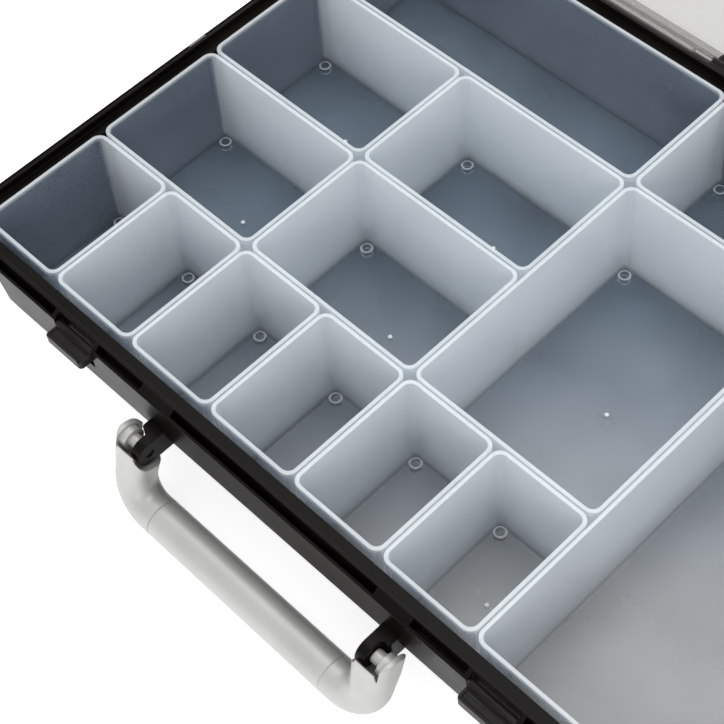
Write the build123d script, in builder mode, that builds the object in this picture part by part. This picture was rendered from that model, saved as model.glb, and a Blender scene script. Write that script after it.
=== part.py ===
from build123d import *
from math import atan, cos, degrees, radians, sin
import os

# Assortment carry case, opened flat: a moulded case with lift-out bins, a clear lid on a
# rear hinge, two front latches and a swinging handle. X runs left to right, Y front to back.
# The origin is the centre of the case's underside.

# Driving sizes in millimetres
module_x = 39.3
module_y = 54.6
columns = 8
rows = 4
bin_height = 47.0
bin_wall = 1.0
bin_floor = 1.2
bin_gap = 0.7
bin_corner = 3.9
bin_draft_inset = 0.9
bin_rim_height = 1.8
bin_rim_step = 0.3
bin_edge_round = 1.2
bin_inner_sharpening = 0.6
foot_height = 0.8
ring_radius = 2.5
ring_wall = 0.8
ring_inset = 4.7
ring_rise = 0.8
case_floor = 2.0
case_wall = 2.0
well_clearance = 1.0
well_draft_inset = 1.6
case_foot_radius = 4.0
rim_reach = 10.0
rim_corner = 14.0
rim_drop = 3.2
ridge_inner = 5.5
ridge_outer = 6.9
ledge_drop = 2.5
rim_block_height = 8.0
skirt_wall = 0.8
panel_half_length = 138.2
panel_height = 15.5
panel_wall = 1.6
panel_end_slope = 3.0
cross_arm = 7.0
cross_width = 1.6
cross_height = 0.5
latch_offset = 95.7
latch_width = 18.6
latch_side_gap = 0.4
latch_length = 6.3
latch_thickness = 3.1
latch_axis_drop = 5.0
latch_axis_reach = 8.9
latch_face_drop = 0.4
latch_lip = 0.9
latch_barrel = 1.5
latch_corner = 1.6
latch_scoop = 0.5
latch_scoop_side = 1.0
latch_scoop_back = 1.9
latch_scoop_front = 1.4
latch_lip_wall = 0.8
latch_lip_side = 1.2
latch_neck_back = 0.6
latch_neck_front = 0.8
latch_pin_radius = 0.8
pin_clearance = 0.06
pin_end_gap = 0.1
fixed_clearance = 0.02
web = 1.5
bay_depth = 12.0
bay_back_gap = 0.1
hole_end_wall = 0.2
slot_end_inset = 6.0
slot_bracket_inset = 4.0
side_slot_ends = 8.0
block_side = 3.8
ridge_wall = 1.4
slot_deep = 9.0
slot_shallow = 5.4
bracket_set_in = 12.7
bracket_root = 7.2
bracket_root_reach = 4.2
bracket_foot_wall = 1.4
bracket_foot_side = 4.0
bracket_foot_rise = 0.5
bracket_round = 1.2
window_gap = 0.1
bracket_tip = 3.8
pivot_reach = 17.6
pivot_drop = 19.0
pivot_radius = 5.0
handle_lean = 17.6
handle_tube = 7.2
handle_bend = 11.0
handle_outer = 63.4
handle_leg_width = 14.4
handle_leg_corner = 4.6
handle_leg_depth = 13.0
handle_cheek = 2.0
handle_crown = 5.0
handle_boss = 2.6
handle_boss_root = 4.2
handle_boss_root_length = 2.6
handle_seam_inset = 22.2
handle_seam_round = 0.4
rest_clearance = 0.1
handle_pin_radius = 1.5
handle_clearance = 1.2
leg_flare_start = 12.4
leg_flare_end = 4.5
pin_cover = 0.8
boss_gap = 0.4
boss_sink = 0.6
hinge_reach = 11.4
hinge_drop = 3.75
knuckle_radius = 2.2
hinge_pin_radius = 0.9
hinge_side_offset = 112.0
hinge_side_width = 16.0
hinge_centre_width = 33.0
hinge_arm_width = 9.0
hinge_gap = 0.4
stop_reach = 17.0
stop_height = 3.0
knuckle_gap = 0.35
knuckle_block_trim = 0.4
knuckle_arm_reach = 1.2
knuckle_arm_root = 0.8
lid_lift = 0.3
lid_wall = 1.6
lid_height = 8.0
lid_reach = 3.5
lid_flange_reach = 8.6
lid_edge_radius = 2.0
lid_notch_gap = 0.5
catch_wall = 0.7
catch_drop = 1.2
catch_rise = 0.2
catch_nose_gap = 0.1
catch_end_gap = 1.0
lid_notch_depth = 6.0
lid_tongue_wall = 1.2
lid_tongue_drop = 2.6
lid_panel_inset = 9.0
lid_panel_depth = 0.5

# Sizes that follow from them
well_x = columns * module_x
well_y = rows * module_y
rim_z = case_floor + bin_height
flange_z = rim_z - rim_drop
ledge_z = rim_z - ledge_drop
block_z = ledge_z - rim_block_height
panel_z = ledge_z - panel_height
front = -well_y / 2
rear = well_y / 2
slope_run = rim_reach - ridge_outer
slope_rise = ledge_drop - lid_lift
pivot_y = front - pivot_reach
pivot_z = rim_z - pivot_drop
latch_y = front - latch_axis_reach
latch_z = rim_z - latch_axis_drop
bay_half = latch_width / 2 + latch_side_gap
hinge_y = rear + hinge_reach
hinge_z = rim_z - hinge_drop
bracket_inner = handle_outer - bracket_set_in
bracket_outer = bracket_inner + bracket_root
handle_leg = handle_outer - handle_tube
handle_seam = handle_outer - handle_seam_inset
block_outer = bracket_outer + block_side
groove_corner = rim_corner - slope_run - ridge_wall

os.makedirs("parts", exist_ok=True)


def save(part, name):
    part.label = name
    export_step(part, f"parts/{name}.step")


def round_outline(reach, corner):
    RectangleRounded(well_x + 2 * reach, well_y + 2 * reach, corner)


def front_box(x_low, x_high, reach_low, reach_high, z_low, z_high, mode=Mode.ADD):
    """A box in front of the well, between two distances from its front edge."""
    with Locations(((x_low + x_high) / 2, front - (reach_low + reach_high) / 2, (z_low + z_high) / 2)):
        Box(x_high - x_low, reach_high - reach_low, z_high - z_low, mode=mode)


def rear_box(x_low, x_high, reach_low, reach_high, z_low, z_high, mode=Mode.ADD):
    """The same behind the well."""
    with Locations(((x_low + x_high) / 2, rear + (reach_low + reach_high) / 2, (z_low + z_high) / 2)):
        Box(x_high - x_low, reach_high - reach_low, z_high - z_low, mode=mode)


def bar_along_x(x_low, x_high, y, z, radius, mode=Mode.ADD):
    with Locations(Location(((x_low + x_high) / 2, y, z), (0, 90, 0))):
        Cylinder(radius, x_high - x_low, mode=mode)


# The front slots of the rim, left half; the right half mirrors them
corner_slot = (-well_x / 2 + slot_end_inset, -latch_offset - bay_half - web, slot_deep)
middle_slot = (-latch_offset + bay_half + web, -block_outer, slot_shallow)
centre_slot = (-bracket_inner + slot_bracket_inset, 0.0, slot_deep)
front_slots = [corner_slot, middle_slot, centre_slot]
slot_outer = rim_reach - skirt_wall
hinge_offsets = [-hinge_side_offset, 0.0, hinge_side_offset]
hinge_widths = [hinge_side_width, hinge_centre_width, hinge_side_width]

with BuildPart() as case_base:
    # Tapered tray
    foot_reach = well_clearance - well_draft_inset + case_wall
    tray_height = flange_z - case_wall
    tray_taper = degrees(atan(well_draft_inset / tray_height))
    with BuildSketch():
        round_outline(foot_reach, bin_corner + case_wall)
    extrude(amount=tray_height, taper=-tray_taper)
    fillet(case_base.edges().group_by(Axis.Z)[0], case_foot_radius)
    # Rim block, its sloped shoulder and the ridge that the lid closes over
    with BuildSketch(Plane.XY.offset(block_z)):
        round_outline(rim_reach, rim_corner)
    extrude(amount=rim_block_height)
    with BuildSketch(Plane.XY.offset(ledge_z)):
        round_outline(rim_reach, rim_corner)
    extrude(amount=slope_rise, taper=degrees(atan(slope_run / slope_rise)))
    with BuildSketch(Plane.XY.offset(block_z)):
        round_outline(ridge_outer, rim_corner - slope_run)
    extrude(amount=rim_z - block_z)
    # Front panel below the rim, with sloped ends
    with BuildSketch(Plane.XZ.offset(-front + rim_reach - panel_wall)):
        with BuildLine():
            Polyline(
                (-panel_half_length, ledge_z), (-panel_half_length, block_z),
                (-panel_half_length + panel_end_slope, panel_z),
                (panel_half_length - panel_end_slope, panel_z),
                (panel_half_length, block_z), (panel_half_length, ledge_z), close=True,
            )
        make_face()
    extrude(amount=panel_wall)
    # Hinge blocks along the rear
    for offset_x, width in zip(hinge_offsets, hinge_widths):
        rear_box(offset_x - width / 2, offset_x + width / 2, rim_reach - 1, hinge_reach,
                 hinge_z - knuckle_radius, hinge_z + knuckle_radius - knuckle_block_trim)
        bar_along_x(offset_x - width / 2, offset_x + width / 2, hinge_y, hinge_z, knuckle_radius)
    rear_box(-hinge_centre_width / 2, hinge_centre_width / 2, rim_reach - 1, stop_reach,
             hinge_z - stop_height, hinge_z)
    # Groove inside the ridge, then the well
    with BuildSketch(Plane.XY.offset(flange_z)):
        round_outline(ridge_inner, groove_corner)
    extrude(amount=rim_drop, mode=Mode.SUBTRACT)
    with BuildSketch(Plane.XY.offset(case_floor)):
        round_outline(well_clearance - well_draft_inset, bin_corner)
    extrude(amount=flange_z - case_floor, taper=-tray_taper, mode=Mode.SUBTRACT)
    # Hollow under the groove
    with BuildSketch(Plane.XY.offset(block_z)):
        round_outline(ridge_inner, groove_corner)
        wall_reach = well_clearance + case_wall
        RectangleRounded(well_x + 2 * wall_reach, well_y + 2 * wall_reach, bin_corner + wall_reach,
                         mode=Mode.SUBTRACT)
    extrude(amount=flange_z - case_wall - block_z, mode=Mode.SUBTRACT)
    # Slots that take the lid's tongues
    for slot_low, slot_high, depth in front_slots:
        for side in (1, -1):
            ends = sorted((side * slot_low, side * slot_high))
            front_box(*ends, ridge_outer, slot_outer, rim_z - depth, rim_z, mode=Mode.SUBTRACT)
    for side in (1, -1):
        for end in (1, -1):
            with Locations((side * (well_x / 2 + (ridge_outer + slot_outer) / 2),
                            end * well_y / 4, rim_z - slot_deep / 2)):
                Box(slot_outer - ridge_outer, well_y / 2 - side_slot_ends, slot_deep, mode=Mode.SUBTRACT)
    # Latch bays, and the pin holes in their cheeks
    for side in (1, -1):
        middle = side * latch_offset
        front_box(middle - bay_half, middle + bay_half, ridge_outer + bay_back_gap, rim_reach + 1,
                  rim_z - bay_depth, rim_z, mode=Mode.SUBTRACT)
        hole_reach = bay_half + web - hole_end_wall
        bar_along_x(middle - hole_reach, middle + hole_reach, latch_y, latch_z,
                    latch_pin_radius + fixed_clearance, mode=Mode.SUBTRACT)
        # Window for the handle bracket's arm
        ends = sorted((side * (bracket_inner - window_gap), side * (bracket_outer + window_gap)))
        front_box(*ends, rim_reach - panel_wall - 1, rim_reach + 1, pivot_z - pivot_radius - 1,
                  pivot_z + pivot_radius + window_gap, mode=Mode.SUBTRACT)
    # Clearance for the lid's knuckles, and the hinge pin holes
    for offset_x, width in zip(hinge_offsets, hinge_widths):
        inner = width / 2 + hinge_gap / 2
        outer = width / 2 + hinge_arm_width + hinge_gap
        for side in (1, -1):
            ends = sorted((offset_x + side * inner, offset_x + side * outer))
            bar_along_x(*ends, hinge_y, hinge_z, knuckle_radius + knuckle_gap, mode=Mode.SUBTRACT)
        bar_along_x(offset_x - width, offset_x + width, hinge_y, hinge_z,
                    hinge_pin_radius + fixed_clearance, mode=Mode.SUBTRACT)
    # Raised crosses on the floor where four modules meet
    with BuildSketch(Plane.XY.offset(case_floor)):
        with GridLocations(module_x, module_y, columns - 1, rows - 1):
            Rectangle(cross_arm, cross_width)
            Rectangle(cross_width, cross_arm)
    extrude(amount=cross_height)
save(case_base.part, "case_base")


def hinge_pin(offset_x, width):
    with BuildPart() as pin:
        reach = width / 2 + hinge_arm_width - 1
        bar_along_x(offset_x - reach, offset_x + reach, hinge_y, hinge_z, hinge_pin_radius)
    return pin.part


for name, offset_x, width in zip(("left", "centre", "right"), hinge_offsets, hinge_widths):
    save(hinge_pin(offset_x, width), f"hinge_pin_{name}")

with BuildPart() as lid:
    # Modelled closed, then turned open about the hinge
    lid_z = rim_z + lid_lift
    dome_top = rim_z + lid_height
    notch_half = hinge_centre_width / 2 + lid_notch_gap
    with BuildSketch(Plane.XY.offset(lid_z)):
        round_outline(lid_reach, rim_corner - rim_reach + lid_reach)
    extrude(amount=dome_top - lid_z)
    rear_box(-notch_half, notch_half, lid_reach - lid_notch_depth, lid_reach + 1, lid_z, dome_top,
             mode=Mode.SUBTRACT)
    fillet(lid.edges().group_by(Axis.Z)[-1], lid_edge_radius)
    with BuildSketch(Plane.XY.offset(lid_z)):
        round_outline(lid_flange_reach, rim_corner - rim_reach + lid_flange_reach)
    extrude(amount=lid_wall)
    # Hollow, following the notch at the rear
    with BuildSketch(Plane.XY.offset(lid_z)):
        round_outline(lid_reach - lid_wall, rim_corner - rim_reach + lid_reach - lid_wall)
        with Locations((0, rear + lid_reach - lid_notch_depth / 2)):
            Rectangle(2 * (notch_half + lid_wall), lid_notch_depth + 2 * lid_wall, mode=Mode.SUBTRACT)
    extrude(amount=lid_height - lid_lift - lid_wall, mode=Mode.SUBTRACT)
    rear_box(-notch_half, notch_half, lid_reach - lid_notch_depth, lid_flange_reach + 1, lid_z,
             dome_top, mode=Mode.SUBTRACT)
    # Shallow panel sunk in the top
    with BuildSketch(Plane.XY.offset(dome_top)):
        round_outline(lid_reach - lid_panel_inset, rim_corner - lid_panel_inset)
    extrude(amount=-lid_panel_depth, mode=Mode.SUBTRACT)
    # Tongues that enter the front slots
    for slot_low, slot_high, depth in front_slots:
        low = slot_low + 1
        high = slot_high - 1 if slot_high < 0 else slot_high
        for side in (1, -1):
            ends = sorted((side * low, side * high))
            front_box(*ends, ridge_outer + lid_lift, ridge_outer + lid_lift + lid_tongue_wall,
                      rim_z - lid_tongue_drop, lid_z)
    # Catches for the latches: the flange is cut back and a nose stands under the hook
    catch_root = ridge_outer + lid_lift + catch_wall
    catch_half = latch_width / 2 - catch_end_gap
    for side in (1, -1):
        middle = side * latch_offset
        front_box(middle - bay_half, middle + bay_half, catch_root, lid_flange_reach + 1, lid_z,
                  lid_z + lid_wall, mode=Mode.SUBTRACT)
        front_box(middle - catch_half, middle + catch_half, ridge_outer + lid_lift, catch_root,
                  rim_z - catch_drop, lid_z)
        front_box(middle - catch_half, middle + catch_half, catch_root,
                  latch_axis_reach + catch_nose_gap, rim_z - catch_drop, rim_z + catch_rise)
    # Hinge arms and knuckles
    for offset_x, width in zip(hinge_offsets, hinge_widths):
        inner = width / 2 + hinge_gap
        for side in (1, -1):
            ends = sorted((offset_x + side * inner, offset_x + side * (inner + hinge_arm_width - hinge_gap)))
            arm_reach = hinge_reach + knuckle_arm_reach
            rear_box(*ends, lid_flange_reach - 1, arm_reach, lid_z, lid_z + lid_wall)
            rear_box(*ends, hinge_reach - knuckle_arm_root, arm_reach, hinge_z, lid_z + lid_wall)
            bar_along_x(*ends, hinge_y, hinge_z, knuckle_radius)
        reach = width / 2 + hinge_arm_width - 0.6
        bar_along_x(offset_x - reach, offset_x + reach, hinge_y, hinge_z,
                    hinge_pin_radius + pin_clearance, mode=Mode.SUBTRACT)
hinge_axis = Axis((0, hinge_y, hinge_z), (1, 0, 0))
save(lid.part.rotate(hinge_axis, 180), "lid")


def latch(middle):
    """A latch swung out level: a scooped plate with a hook lip, on its barrel."""
    face_z = latch_z - latch_face_drop
    low, high = middle - latch_width / 2, middle + latch_width / 2
    tip = latch_axis_reach + latch_length
    with BuildPart() as plate:
        front_box(low, high, latch_axis_reach, tip, face_z - latch_thickness, face_z)
        fillet(plate.edges().filter_by(Axis.Z).group_by(Axis.Y)[0], latch_corner)
        front_box(low + latch_scoop_side, high - latch_scoop_side, latch_axis_reach + latch_scoop_back,
                  tip - latch_scoop_front, face_z - latch_scoop, face_z, mode=Mode.SUBTRACT)
        front_box(low + latch_lip_side, high - latch_lip_side, tip - latch_lip_wall, tip, face_z,
                  face_z + latch_lip)
        bar_along_x(low, high, latch_y, latch_z, latch_barrel)
        front_box(low, high, latch_axis_reach - latch_neck_back, latch_axis_reach + latch_neck_front,
                  face_z - latch_thickness / 2, latch_z)
        bar_along_x(low, high, latch_y, latch_z, latch_pin_radius + pin_clearance,
                    mode=Mode.SUBTRACT)
    return plate.part


def latch_pin(middle):
    with BuildPart() as pin:
        reach = bay_half + web - hole_end_wall - pin_end_gap
        bar_along_x(middle - reach, middle + reach, latch_y, latch_z, latch_pin_radius)
    return pin.part


def handle_bracket(side):
    """A bracket on its foot behind the panel, with a rounded tip for the handle pin."""
    tip_ends = sorted((side * bracket_inner, side * (bracket_inner + bracket_tip)))
    root_ends = sorted((side * bracket_inner, side * bracket_outer))
    foot_ends = (root_ends[0] - bracket_foot_side, root_ends[1] + bracket_foot_side)
    foot_reach = rim_reach - panel_wall
    with BuildPart() as bracket:
        front_box(*tip_ends, foot_reach, pivot_reach, pivot_z - pivot_radius, pivot_z + pivot_radius)
        bar_along_x(*tip_ends, pivot_y, pivot_z, pivot_radius)
        front_box(*root_ends, foot_reach - bracket_foot_wall, rim_reach + bracket_root_reach,
                  pivot_z - pivot_radius, pivot_z + pivot_radius)
        fillet(bracket.edges().filter_by(Axis.Z).group_by(Axis.Y)[0], bracket_round)
        front_box(*foot_ends, foot_reach - bracket_foot_wall, foot_reach, panel_z + bracket_foot_rise,
                  block_z - window_gap)
        bar_along_x(tip_ends[0] - 0.5, tip_ends[1] + 0.5, pivot_y, pivot_z,
                    handle_pin_radius + fixed_clearance, mode=Mode.SUBTRACT)
    return bracket.part


def handle_pin(side):
    ends = sorted((side * (bracket_inner + boss_gap), side * (handle_outer - pin_cover - boss_gap)))
    with BuildPart() as pin:
        bar_along_x(*ends, pivot_y, pivot_z, handle_pin_radius)
    return pin.part


for side, name in ((-1, "left"), (1, "right")):
    save(latch(side * latch_offset), f"latch_{name}")
    save(latch_pin(side * latch_offset), f"latch_pin_{name}")
    save(handle_bracket(side), f"handle_bracket_{name}")
    save(handle_pin(side), f"handle_pin_{name}")

# The handle hangs, leaning out, with its grip just above the surface that the case stands on
handle_length = (pivot_z - handle_tube - rest_clearance) / cos(radians(handle_lean))
handle_plane = Plane(
    origin=(0, pivot_y, pivot_z), x_dir=(1, 0, 0),
    z_dir=(0, -cos(radians(handle_lean)), sin(radians(handle_lean))),
)

with BuildPart() as handle_grip:
    with BuildSketch(Plane.YZ.offset(-handle_seam)):
        with Locations((pivot_y - handle_length * sin(radians(handle_lean)), handle_tube + rest_clearance)):
            Circle(handle_tube)
    extrude(amount=2 * handle_seam)
    fillet(handle_grip.edges().filter_by(GeomType.CIRCLE), handle_seam_round)
save(handle_grip.part, "handle_grip")


def handle_end(side):
    """An elbow that widens into the cupped leg, with the boss that the pin passes through."""
    leg = side * handle_leg
    cheek_outer = side * handle_outer
    cheek_inner = side * (handle_outer - handle_cheek)
    cup = pivot_radius + handle_clearance
    leg_middle = side * (handle_outer - handle_leg_width / 2)
    along_leg = handle_plane.y_dir
    with BuildPart() as end:
        with BuildLine(handle_plane) as route:
            FilletPolyline(
                (side * handle_seam, -handle_length), (leg, -handle_length), (leg, -leg_flare_start),
                radius=handle_bend,
            )
        with BuildSketch(Plane(origin=route.line @ 0, z_dir=route.line % 0)):
            Circle(handle_tube)
        sweep()
        # The leg flares from the tube to a wider rounded section
        with BuildSketch(Plane(handle_plane.from_local_coords((leg, -leg_flare_start, 0)),
                               x_dir=(1, 0, 0), z_dir=along_leg)):
            Circle(handle_tube)
        with BuildSketch(Plane(handle_plane.from_local_coords((leg_middle, -leg_flare_end, 0)),
                               x_dir=(1, 0, 0), z_dir=along_leg)):
            RectangleRounded(handle_leg_width, handle_leg_depth, handle_leg_corner)
        loft()
        with BuildSketch(Plane(handle_plane.from_local_coords((leg_middle, -leg_flare_end, 0)),
                               x_dir=(1, 0, 0), z_dir=along_leg)):
            RectangleRounded(handle_leg_width, handle_leg_depth, handle_leg_corner)
        extrude(amount=leg_flare_end + handle_tube)
        # Its end is round about the pivot
        with BuildSketch(Plane(handle_plane.from_local_coords((leg_middle - handle_leg_width, 0, 0)),
                               x_dir=along_leg, z_dir=(1, 0, 0))):
            with Locations((handle_tube, 0)):
                Rectangle(2 * handle_tube, 4 * handle_tube)
            Ellipse(handle_crown, handle_leg_depth / 2, mode=Mode.SUBTRACT)
        extrude(amount=2 * handle_leg_width, mode=Mode.SUBTRACT)
        # Room for the bracket's tip, open above, behind and towards the middle
        scoop_ends = sorted((cheek_inner, side * (handle_outer - handle_leg_width - 1)))
        bar_along_x(*scoop_ends, pivot_y, pivot_z, cup, mode=Mode.SUBTRACT)
        with BuildSketch(handle_plane.offset(-handle_tube - 1)):
            with Locations(((scoop_ends[0] + scoop_ends[1]) / 2, handle_tube / 2 + 0.5)):
                Rectangle(scoop_ends[1] - scoop_ends[0], handle_tube + 1)
        extrude(amount=2 * handle_tube + 2, mode=Mode.SUBTRACT)
        with BuildSketch(handle_plane.offset(-handle_tube - 1)):
            with Locations(((scoop_ends[0] + scoop_ends[1]) / 2, 0)):
                Rectangle(scoop_ends[1] - scoop_ends[0], 2 * cup)
        extrude(amount=handle_tube + 1, mode=Mode.SUBTRACT)
        # Boss towards the bracket, and the pin's hole
        boss_start = cheek_outer - side * boss_sink
        boss_ends = sorted((boss_start, side * (bracket_inner + bracket_tip + boss_gap)))
        bar_along_x(*boss_ends, pivot_y, pivot_z, handle_boss)
        root_ends = sorted((boss_start, cheek_inner - side * handle_boss_root_length))
        bar_along_x(*root_ends, pivot_y, pivot_z, handle_boss_root)
        hole_ends = sorted((cheek_outer - side * pin_cover, side * bracket_inner))
        bar_along_x(*hole_ends, pivot_y, pivot_z, handle_pin_radius + pin_clearance, mode=Mode.SUBTRACT)
    return end.part


for side, name in ((-1, "left"), (1, "right")):
    save(handle_end(side), f"handle_end_{name}")


def storage_bin(column, row, wide, deep):
    """An open bin that fills wide by deep modules, its left front module at column and row."""
    size_x, size_y = wide * module_x - bin_gap, deep * module_y - bin_gap
    centre_x = (column + wide / 2) * module_x - well_x / 2
    centre_y = (row + deep / 2) * module_y - well_y / 2
    body_z = case_floor + foot_height
    body_x, body_y = size_x - 2 * bin_rim_step, size_y - 2 * bin_rim_step
    body_height = rim_z - body_z
    taper = degrees(atan(bin_draft_inset / body_height))
    corner = bin_corner - bin_rim_step
    grid_x = size_x + bin_gap - 2 * ring_inset
    grid_y = size_y + bin_gap - 2 * ring_inset
    with BuildPart() as box:
        with BuildSketch(Plane.XY.offset(rim_z)):
            with Locations((centre_x, centre_y)):
                RectangleRounded(body_x, body_y, corner)
        extrude(amount=-body_height, taper=taper)
        with BuildSketch(Plane.XY.offset(rim_z)):
            with Locations((centre_x, centre_y)):
                RectangleRounded(size_x, size_y, bin_corner)
        extrude(amount=-bin_rim_height)
        fillet(box.edges().group_by(Axis.Z)[0], bin_edge_round)
        with BuildSketch(Plane.XY.offset(rim_z)):
            with Locations((centre_x, centre_y)):
                RectangleRounded(body_x - 2 * bin_wall, body_y - 2 * bin_wall, corner - bin_inner_sharpening)
        extrude(amount=-(body_height - bin_floor), taper=taper, mode=Mode.SUBTRACT)
        # Locating rings: feet under the floor, and the same rings raised inside
        with BuildSketch(Plane.XY.offset(case_floor)):
            with Locations((centre_x, centre_y)):
                with GridLocations(grid_x, grid_y, 2, 2):
                    Circle(ring_radius)
                    Circle(ring_radius - ring_wall, mode=Mode.SUBTRACT)
        extrude(amount=foot_height + bin_floor / 2)
        with BuildSketch(Plane.XY.offset(body_z + bin_floor)):
            with Locations((centre_x, centre_y)):
                with GridLocations(grid_x, grid_y, 2, 2):
                    Circle(ring_radius)
                    Circle(ring_radius - ring_wall, mode=Mode.SUBTRACT)
        extrude(amount=ring_rise)
    return box.part


# Name, first column, first row, modules across, modules deep
bin_layout = [(f"bin_single_{n + 1}", n, 0, 1, 1) for n in range(6)]
bin_layout += [
    ("bin_wide_1", 0, 1, 2, 1), ("bin_wide_2", 2, 1, 2, 1), ("bin_wide_3", 0, 2, 2, 1),
    ("bin_wide_4", 2, 2, 2, 1), ("bin_wide_5", 4, 3, 2, 1), ("bin_square_1", 4, 1, 2, 2),
    ("bin_long_1", 0, 3, 4, 1), ("bin_deep_1", 6, 0, 2, 4),
]
for name, column, row, wide, deep in bin_layout:
    save(storage_bin(column, row, wide, deep), name)
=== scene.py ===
import bmesh
import bpy
from math import cos, pi, radians, sin
from mathutils import Matrix, Vector


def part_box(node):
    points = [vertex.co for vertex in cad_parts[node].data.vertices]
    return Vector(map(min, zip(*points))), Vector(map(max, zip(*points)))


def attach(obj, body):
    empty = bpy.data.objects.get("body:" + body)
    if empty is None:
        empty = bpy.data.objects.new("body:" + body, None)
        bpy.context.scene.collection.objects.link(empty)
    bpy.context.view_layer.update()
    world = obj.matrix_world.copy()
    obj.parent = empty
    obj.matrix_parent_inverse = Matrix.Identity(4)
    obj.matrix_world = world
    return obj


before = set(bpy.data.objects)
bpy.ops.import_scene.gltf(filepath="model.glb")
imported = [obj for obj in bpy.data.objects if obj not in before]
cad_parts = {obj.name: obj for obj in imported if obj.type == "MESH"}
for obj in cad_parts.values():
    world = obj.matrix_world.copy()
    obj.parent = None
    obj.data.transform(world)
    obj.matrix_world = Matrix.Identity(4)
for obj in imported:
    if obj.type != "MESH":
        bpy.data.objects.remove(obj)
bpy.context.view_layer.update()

# Camera.
# It looks down into the open case from above its right front corner, with a slight tilt.
eye = Vector((0.2414, -0.2723, 0.5281))
aim = Vector((-0.0149, -0.0617, 0.0490))
camera_tilt = radians(-6.53)
lens_mm = 88.8
sensor_mm = 36.0
near_clip = 0.01

camera_data = bpy.data.cameras.new("camera")
camera_data.lens = lens_mm
camera_data.sensor_width = sensor_mm
camera_data.sensor_fit = "HORIZONTAL"
camera_data.clip_start = near_clip
camera = bpy.data.objects.new("camera", camera_data)
facing = (aim - eye).to_track_quat("-Z", "Y").to_matrix().to_4x4()
camera.matrix_world = Matrix.Translation(eye) @ facing @ Matrix.Rotation(camera_tilt, 4, "Z")
bpy.context.collection.objects.link(camera)
bpy.context.scene.camera = camera
bpy.context.scene.view_settings.view_transform = "Standard"

# Studio.
# A pale tabletop under soft boxes: a broad one overhead, a long one behind and a low fill.
# The tabletop and the room show white to the eye and in reflections, and keep the shadow.
white = (1.0, 1.0, 1.0, 1.0)
room_light = 0.80
room_white = 1.0
table_size = 6.0
table_colour = (0.93, 0.93, 0.93, 1.0)
table_roughness = 0.9
table_lift = 0.70
# Each lamp's name, place, width, height and watts
lamps = (
    ("overhead box", (-0.25, 0.25, 1.5), 1.2, 1.2, 9.0),
    ("rear box", (-0.9, 1.3, 0.9), 1.4, 0.5, 9.0),
    ("front fill", (0.9, -1.2, 0.7), 0.9, 0.6, 4.0),
)


def combined(tree, operation, first, second):
    """Two values, or a value and a number, put through one step of arithmetic."""
    step = tree.nodes.new("ShaderNodeMath")
    step.operation = operation
    tree.links.new(first, step.inputs[0])
    if isinstance(second, float):
        step.inputs[1].default_value = second
    else:
        tree.links.new(second, step.inputs[1])
    return step.outputs[0]


def spread(tree, value, from_low, from_high, to_low, to_high):
    """A value stretched from one range to another and held at its ends."""
    ranged = tree.nodes.new("ShaderNodeMapRange")
    ranged.inputs["From Min"].default_value = from_low
    ranged.inputs["From Max"].default_value = from_high
    ranged.inputs["To Min"].default_value = to_low
    ranged.inputs["To Max"].default_value = to_high
    tree.links.new(value, ranged.inputs["Value"])
    return ranged.outputs["Result"]


def plain_material(name, colour, roughness):
    """A named material with the two main sockets of its shader set."""
    material = bpy.data.materials.new(name)
    material.use_nodes = True
    tree = material.node_tree
    shader = tree.nodes["Principled BSDF"]
    shader.inputs["Base Color"].default_value = colour
    shader.inputs["Roughness"].default_value = roughness
    return material, tree, shader


def light_the_room():
    world = bpy.data.worlds.new("studio room")
    world.use_nodes = True
    tree = world.node_tree
    background = tree.nodes["Background"]
    background.inputs["Color"].default_value = white
    path = tree.nodes.new("ShaderNodeLightPath")
    strength = spread(tree, path.outputs["Is Camera Ray"], 0.0, 1.0, room_light, room_white)
    tree.links.new(strength, background.inputs["Strength"])
    bpy.context.scene.world = world


def soft_box(name, place, width, height, watts):
    """A lamp that faces the middle of the case."""
    lamp_data = bpy.data.lights.new(name, "AREA")
    lamp_data.shape = "RECTANGLE"
    lamp_data.size = width
    lamp_data.size_y = height
    lamp_data.energy = watts
    lamp = bpy.data.objects.new(name, lamp_data)
    lamp.location = place
    lamp.rotation_euler = (-Vector(place)).to_track_quat("-Z", "Y").to_euler()
    bpy.context.collection.objects.link(lamp)


def seen_directly(tree):
    """One where a ray comes from the eye, a reflection or a see-through surface, else zero."""
    path = tree.nodes.new("ShaderNodeLightPath")
    seen = path.outputs["Is Camera Ray"]
    for ray in ("Is Glossy Ray", "Is Transmission Ray"):
        seen = combined(tree, "MAXIMUM", seen, path.outputs[ray])
    return seen


def lay_the_table():
    surface = bpy.data.meshes.new("tabletop")
    half = table_size / 2
    surface.from_pydata([(-half, -half, 0), (half, -half, 0), (half, half, 0), (-half, half, 0)], [],
                        [(0, 1, 2, 3)])
    table = bpy.data.objects.new("tabletop", surface)
    bpy.context.collection.objects.link(table)
    paint, tree, shader = plain_material("tabletop paint", table_colour, table_roughness)
    shader.inputs["Emission Color"].default_value = white
    lift = combined(tree, "MULTIPLY", seen_directly(tree), table_lift)
    tree.links.new(lift, shader.inputs["Emission Strength"])
    surface.materials.append(paint)


light_the_room()
for lamp_settings in lamps:
    soft_box(*lamp_settings)
lay_the_table()

# Case.
# The tray, its rim, ridge and slots are one piece of glossy black moulding, spark-eroded to a
# fine grain. Edges are slightly rounded by the mould, and handling leaves faint dull patches.
case_black = (0.0036, 0.0028, 0.0024, 1.0)
case_dust = (0.0110, 0.0090, 0.0078, 1.0)
case_glare = 0.09
case_shine = 0.24
case_dullness = 0.42
case_patches_per_metre = 22.0
case_patch_detail = 5.0
case_dust_share = 0.55
case_grain_per_metre = 2600.0
case_grain_detail = 2.0
case_grain_depth = 0.000003
case_edge_radius = 0.0005
edge_samples = 6


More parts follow.
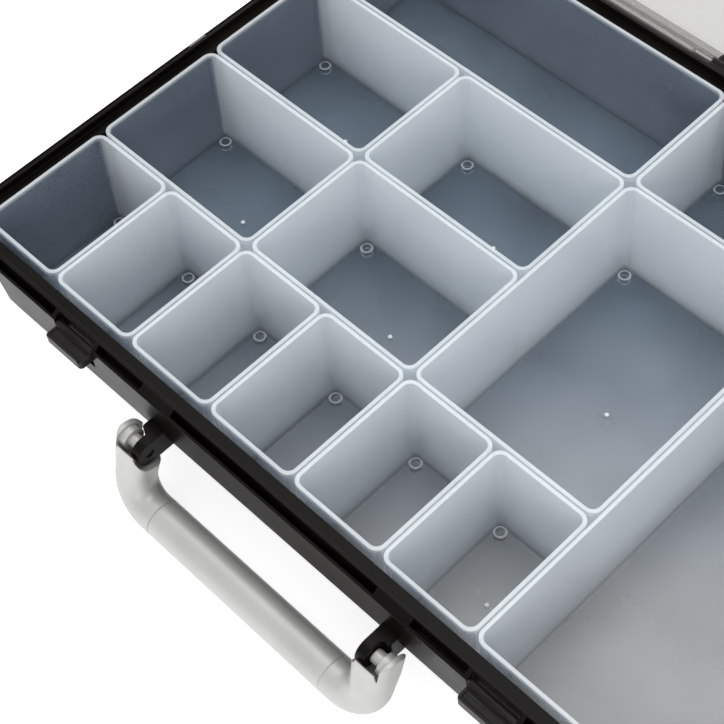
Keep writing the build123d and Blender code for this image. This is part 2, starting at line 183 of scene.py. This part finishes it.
def own_place(tree):
    """The object's own coordinates, which move with it."""
    return tree.nodes.new("ShaderNodeTexCoord").outputs["Object"]


def grain(tree, place, per_metre, detail):
    noise = tree.nodes.new("ShaderNodeTexNoise")
    noise.inputs["Scale"].default_value = per_metre
    noise.inputs["Detail"].default_value = detail
    tree.links.new(place, noise.inputs["Vector"])
    return noise.outputs["Fac"]


def blend_colours(tree, share, first, second):
    """Two colours mixed by a share. The first may come from another node."""
    mix = tree.nodes.new("ShaderNodeMix")
    mix.data_type = "RGBA"
    if isinstance(first, tuple):
        mix.inputs["A"].default_value = first
    else:
        tree.links.new(first, mix.inputs["A"])
    mix.inputs["B"].default_value = second
    tree.links.new(share, mix.inputs["Factor"])
    return mix.outputs["Result"]


def mould_surface(tree, shader, height, depth, edge_radius):
    """Grain as bump, over edges rounded by the mould."""
    bump = tree.nodes.new("ShaderNodeBump")
    bump.inputs["Distance"].default_value = depth
    bump.inputs["Strength"].default_value = 1.0
    edge = tree.nodes.new("ShaderNodeBevel")
    edge.samples = edge_samples
    edge.inputs["Radius"].default_value = edge_radius
    tree.links.new(edge.outputs["Normal"], bump.inputs["Normal"])
    tree.links.new(height, bump.inputs["Height"])
    tree.links.new(bump.outputs["Normal"], shader.inputs["Normal"])


def black_moulding():
    material, tree, shader = plain_material("case moulding", case_black, case_shine)
    shader.inputs["Specular IOR Level"].default_value = case_glare
    place = own_place(tree)
    patches = grain(tree, place, case_patches_per_metre, case_patch_detail)
    dusty = spread(tree, patches, 0.45, 0.75, 0.0, case_dust_share)
    dull = spread(tree, patches, 0.35, 0.7, case_shine, case_dullness)
    tree.links.new(blend_colours(tree, dusty, case_black, case_dust), shader.inputs["Base Color"])
    tree.links.new(dull, shader.inputs["Roughness"])
    fine = grain(tree, place, case_grain_per_metre, case_grain_detail)
    mould_surface(tree, shader, fine, case_grain_depth, case_edge_radius)
    return material


def dress(node, material):
    """Put one material on all of a carried-over node."""
    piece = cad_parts[node]
    piece.data.materials.clear()
    piece.data.materials.append(material)
    for face in piece.data.polygons:
        face.material_index = 0


moulding = black_moulding()
for node in ("case_base", "handle_bracket_left", "handle_bracket_right"):
    dress(node, moulding)

# Latches.
# Two short black levers on steel pins, their faces brushed by the mould in fine lines along the case.
# They are painted a little greyer than the rim, with lighter streaks along the lines: painted sheen for
# the light their faces catch.
latch_black = (0.010, 0.009, 0.009, 1.0)
# The next colour is painted sheen: lighter streaks on the latch black
latch_sheen_streak = (0.028, 0.026, 0.025, 1.0)
latch_shine = 0.34
brush_stretch = (1.0, 26.0, 26.0)
brush_per_metre = 90.0
brush_detail = 4.0
brush_depth = 0.00006
latch_edge_radius = 0.0004


def brushed_moulding():
    material, tree, shader = plain_material("latch moulding", latch_black, latch_shine)
    shader.inputs["Specular IOR Level"].default_value = case_glare
    squeeze = tree.nodes.new("ShaderNodeMapping")
    squeeze.inputs["Scale"].default_value = brush_stretch
    tree.links.new(own_place(tree), squeeze.inputs["Vector"])
    lines = grain(tree, squeeze.outputs["Vector"], brush_per_metre, brush_detail)
    # Painted sheen: lighter streaks along the brushed lines
    sheen_streaks = spread(tree, lines, 0.4, 0.7, 0.0, 1.0)
    tree.links.new(blend_colours(tree, sheen_streaks, latch_black, latch_sheen_streak), shader.inputs["Base Color"])
    mould_surface(tree, shader, lines, brush_depth, latch_edge_radius)
    return material


latch_moulding = brushed_moulding()
for node in ("latch_left", "latch_right"):
    dress(node, latch_moulding)

# Pins.
# Turned steel wire, fixed in the case: two for the latches and three along the rear hinge.
# The handle's two pins are moulded in black, like the arms that they are fixed in.
pin_steel = (0.55, 0.55, 0.56, 1.0)
pin_shine = 0.3
pin_grain_per_metre = 3000.0
pin_grain_detail = 3.0
pin_grain_depth = 0.000008
pin_edge_radius = 0.0002


def turned_steel():
    material, tree, shader = plain_material("pin steel", pin_steel, pin_shine)
    shader.inputs["Metallic"].default_value = 1.0
    turning = grain(tree, own_place(tree), pin_grain_per_metre, pin_grain_detail)
    mould_surface(tree, shader, turning, pin_grain_depth, pin_edge_radius)
    return material


steel = turned_steel()
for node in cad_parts:
    if node.startswith("handle_pin"):
        dress(node, moulding)
    elif "_pin_" in node:
        dress(node, steel)

# Handle.
# A satin silver-grey bail: a straight grip between two elbows that end in cupped legs.
# The paint is slightly pearly, with a fine even grain.
silver = (0.52, 0.52, 0.505, 1.0)
silver_shade = (0.48, 0.48, 0.465, 1.0)
paint_shine = 0.44
paint_metal = 0.30
paint_coat = 0.15
paint_coat_shine = 0.3
mottle_per_metre = 60.0
mottle_detail = 4.0
paint_grain_per_metre = 3200.0
paint_grain_detail = 2.0
paint_grain_depth = 0.00001
handle_edge_radius = 0.0006


def silver_paint():
    material, tree, shader = plain_material("handle paint", silver, paint_shine)
    shader.inputs["Metallic"].default_value = paint_metal
    shader.inputs["Coat Weight"].default_value = paint_coat
    shader.inputs["Coat Roughness"].default_value = paint_coat_shine
    place = own_place(tree)
    mottle = spread(tree, grain(tree, place, mottle_per_metre, mottle_detail), 0.35, 0.7, 0.0, 1.0)
    tree.links.new(blend_colours(tree, mottle, silver, silver_shade), shader.inputs["Base Color"])
    fine = grain(tree, place, paint_grain_per_metre, paint_grain_detail)
    mould_surface(tree, shader, fine, paint_grain_depth, handle_edge_radius)
    return material


handle_paint = silver_paint()
for node in ("handle_grip", "handle_end_left", "handle_end_right"):
    dress(node, handle_paint)

# Lid.
# One clear, slightly smoky moulding that turns on the three rear pins. It lies open behind
# the case, inner side up, and looks greyer where one looks along its glossy wall.
lid_tint = (0.20, 0.195, 0.18, 1.0)
lid_shine = 0.10
lid_cover_facing = 0.27
lid_cover_edge = 0.60
lid_facing_blend = 0.35
ripple_per_metre = 35.0
ripple_detail = 2.0
ripple_depth = 0.0001
lid_edge_radius = 0.0005


def seen_along(tree, blend):
    """Zero where a surface faces the eye, rising to one where one looks along it."""
    weight = tree.nodes.new("ShaderNodeLayerWeight")
    weight.inputs["Blend"].default_value = blend
    return weight.outputs["Facing"]


def clear_moulding():
    material, tree, shader = plain_material("lid moulding", lid_tint, lid_shine)
    along = seen_along(tree, lid_facing_blend)
    tree.links.new(spread(tree, along, 0.0, 1.0, lid_cover_facing, lid_cover_edge), shader.inputs["Alpha"])
    ripple = grain(tree, own_place(tree), ripple_per_metre, ripple_detail)
    mould_surface(tree, shader, ripple, ripple_depth, lid_edge_radius)
    return material


dress("lid", clear_moulding())

# Bins.
# Fourteen lift-out bins of milky natural polypropylene, thin enough that the dark tray and
# the next bin show through. Walls look whiter than floors because one looks along them.
milk = (0.91, 0.96, 1.0, 1.0)
# The last three colours are painted shade and light: slate shade on walls at the tray, warm white on lit
# floors, blue shade on floors away from the light
milk_shadow = (0.52, 0.63, 0.78, 1.0)
milk_painted_lit = (0.93, 0.93, 0.925, 1.0)
milk_floor_painted_shade = (0.62, 0.80, 1.0, 1.0)
bin_shine = 0.30
bin_refraction = 1.49
# How much each place hides what is behind it
floor_cover = 0.115
lit_floor_cover = 0.27
wall_cover = 0.37
tray_wall_cover = 0.12
lit_wall_cover = 0.07
# The next two covers are painted highlight on the up-facing tops of rings and rims
ring_cover = 0.42
rim_cover = 0.05
slant_cover = 0.30
slant_blend = 0.3
slant_start = 0.2
cloud_thin = -0.02
cloud_thick = 0.03
cloud_per_metre = 28.0
cloud_detail = 4.0
# The tray's inside, and how near it a wall starts and ends to be painted in shade
tray_half_width = 0.1572
tray_half_depth = 0.1092
tray_near = 0.0032
tray_against = 0.0020
# Heights above the table
ring_foot = 0.0042
ring_fade = 0.0003
floor_depth = 0.0052
floor_fade = 0.003
ring_head = 0.010
wall_middle = 0.020
below_rim_start = 0.0472
below_rim_end = 0.0486
# Painted light: the bins are painted lighter towards the front right, more towards the front than the
# right
front_pull = 1.6
unlit_end = -0.07
lit_end = 0.21
bin_grain_per_metre = 900.0
bin_grain_detail = 3.0
bin_grain_depth = 0.000006
bin_edge_radius = 0.0004
bin_names = sorted(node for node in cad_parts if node.startswith("bin_"))


def sum_of(tree, *values):
    total = values[0]
    for value in values[1:]:
        total = combined(tree, "ADD", total, value)
    return total


def near_tray(tree, offset, half_size):
    """One against the outside of the tray, on either side, falling to zero inside it."""
    distance = combined(tree, "ABSOLUTE", offset, 0.0)
    return spread(tree, distance, half_size - tray_near, half_size - tray_against, 0.0, 1.0)


def milky_moulding():
    material, tree, shader = plain_material("bin moulding", milk, bin_shine)
    shader.inputs["IOR"].default_value = bin_refraction
    place = own_place(tree)
    parts = tree.nodes.new("ShaderNodeSeparateXYZ")
    tree.links.new(place, parts.inputs["Vector"])
    side_to_side, front_to_back, height = (parts.outputs[axis] for axis in "XYZ")
    # Painted shade: walls against the black tray are painted slate and let more of the tray through
    at_side = near_tray(tree, side_to_side, tray_half_width)
    at_end = near_tray(tree, front_to_back, tray_half_depth)
    below_rim = spread(tree, height, below_rim_start, below_rim_end, 1.0, 0.0)
    at_tray = combined(tree, "MULTIPLY", combined(tree, "MAXIMUM", at_side, at_end), below_rim)
    # Painted light: floors and walls are made lighter, by more cover, towards the front right
    from_front = combined(tree, "MULTIPLY", front_to_back, front_pull)
    to_light = combined(tree, "SUBTRACT", side_to_side, from_front)
    lit = spread(tree, to_light, unlit_end, lit_end, 0.0, 1.0)
    floor_share = spread(tree, lit, 0.0, 1.0, floor_cover, lit_floor_cover)
    wall_share = sum_of(
        tree,
        spread(tree, at_tray, 0.0, 1.0, wall_cover, tray_wall_cover),
        combined(tree, "MULTIPLY", lit, lit_wall_cover),
    )
    above_floor = spread(tree, height, floor_depth, floor_depth + floor_fade, 0.0, 1.0)
    cover = tree.nodes.new("ShaderNodeMix")
    tree.links.new(above_floor, cover.inputs["Factor"])
    tree.links.new(floor_share, cover.inputs["A"])
    tree.links.new(wall_share, cover.inputs["B"])
    # The plastic is faintly cloudy, and hides more where one looks along it
    clouds = grain(tree, place, cloud_per_metre, cloud_detail)
    cloud = spread(tree, clouds, 0.3, 0.7, cloud_thin, cloud_thick)
    slant = spread(tree, seen_along(tree, slant_blend), slant_start, 1.0, 0.0, slant_cover)
    # Painted highlight: rims and the rings in the floor face up, and their narrow tops are made more
    # opaque, so whiter, where they catch the light
    turned = tree.nodes.new("ShaderNodeSeparateXYZ")
    surface = tree.nodes.new("ShaderNodeNewGeometry")
    tree.links.new(surface.outputs["Normal"], turned.inputs["Vector"])
    level = spread(tree, turned.outputs["Z"], 0.4, 0.8, 0.0, 1.0)
    top_share = spread(tree, height, ring_head, wall_middle, ring_cover, rim_cover)
    off_floor = spread(tree, height, ring_foot, ring_foot + ring_fade, 0.0, 1.0)
    top = combined(tree, "MULTIPLY", combined(tree, "MULTIPLY", level, top_share), off_floor)
    tree.links.new(sum_of(tree, cover.outputs[0], slant, cloud, top), shader.inputs["Alpha"])
    # Colour: floors are painted blue as shade away from the front right and warm white as light towards
    # it, walls milky, and painted slate shade at the tray
    floor_tint = blend_colours(tree, lit, milk_floor_painted_shade, milk_painted_lit)
    tint = blend_colours(tree, sum_of(tree, above_floor, off_floor), floor_tint, milk)
    tree.links.new(blend_colours(tree, at_tray, tint, milk_shadow), shader.inputs["Base Color"])
    fine = grain(tree, place, bin_grain_per_metre, bin_grain_detail)
    mould_surface(tree, shader, fine, bin_grain_depth, bin_edge_radius)
    return material


bin_moulding = milky_moulding()
for node in bin_names:
    dress(node, bin_moulding)

# Gate dots.
# A small nub in the middle of each bin's floor, where the plastic entered the mould. It was
# broken off there, so it shows as a pale point.
dot_white = (0.80, 0.82, 0.83, 1.0)
dot_shine = 0.35
dot_radius = 0.0008
dot_height = 0.0004
dot_shoulder = 0.6
dot_sides = 20
dot_grain_per_metre = 2500.0
dot_grain_detail = 3.0
dot_grain_depth = 0.00001
dot_edge_radius = 0.0002
bin_inner_floor = 0.0040


def broken_moulding():
    material, tree, shader = plain_material("gate dot moulding", dot_white, dot_shine)
    rough = grain(tree, own_place(tree), dot_grain_per_metre, dot_grain_detail)
    mould_surface(tree, shader, rough, dot_grain_depth, dot_edge_radius)
    return material


def gate_dot(node, material):
    """A short stud with a sloping shoulder, on the floor of one bin."""
    low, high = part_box(node)
    centre_x = (low[0] + high[0]) / 2
    centre_y = (low[1] + high[1]) / 2
    mesh = bmesh.new()
    rings = [
        (dot_radius, 0.0),
        (dot_radius, dot_height * dot_shoulder),
        (dot_radius * dot_shoulder, dot_height),
    ]
    circles = []
    for radius, rise in rings:
        circles.append([
            mesh.verts.new((centre_x + radius * cos(2 * pi * n / dot_sides),
                            centre_y + radius * sin(2 * pi * n / dot_sides), bin_inner_floor + rise))
            for n in range(dot_sides)
        ])
    for lower, upper in zip(circles, circles[1:]):
        for n in range(dot_sides):
            mesh.faces.new((lower[n], lower[(n + 1) % dot_sides], upper[(n + 1) % dot_sides], upper[n]))
    mesh.faces.new(circles[-1])
    mesh.faces.new(list(reversed(circles[0])))
    data = bpy.data.meshes.new(node + "_gate_dot")
    mesh.to_mesh(data)
    mesh.free()
    data.materials.append(material)
    dot = bpy.data.objects.new(node + "_gate_dot", data)
    bpy.context.collection.objects.link(dot)
    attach(dot, node)


dot_moulding = broken_moulding()
for node in bin_names:
    gate_dot(node, dot_moulding)
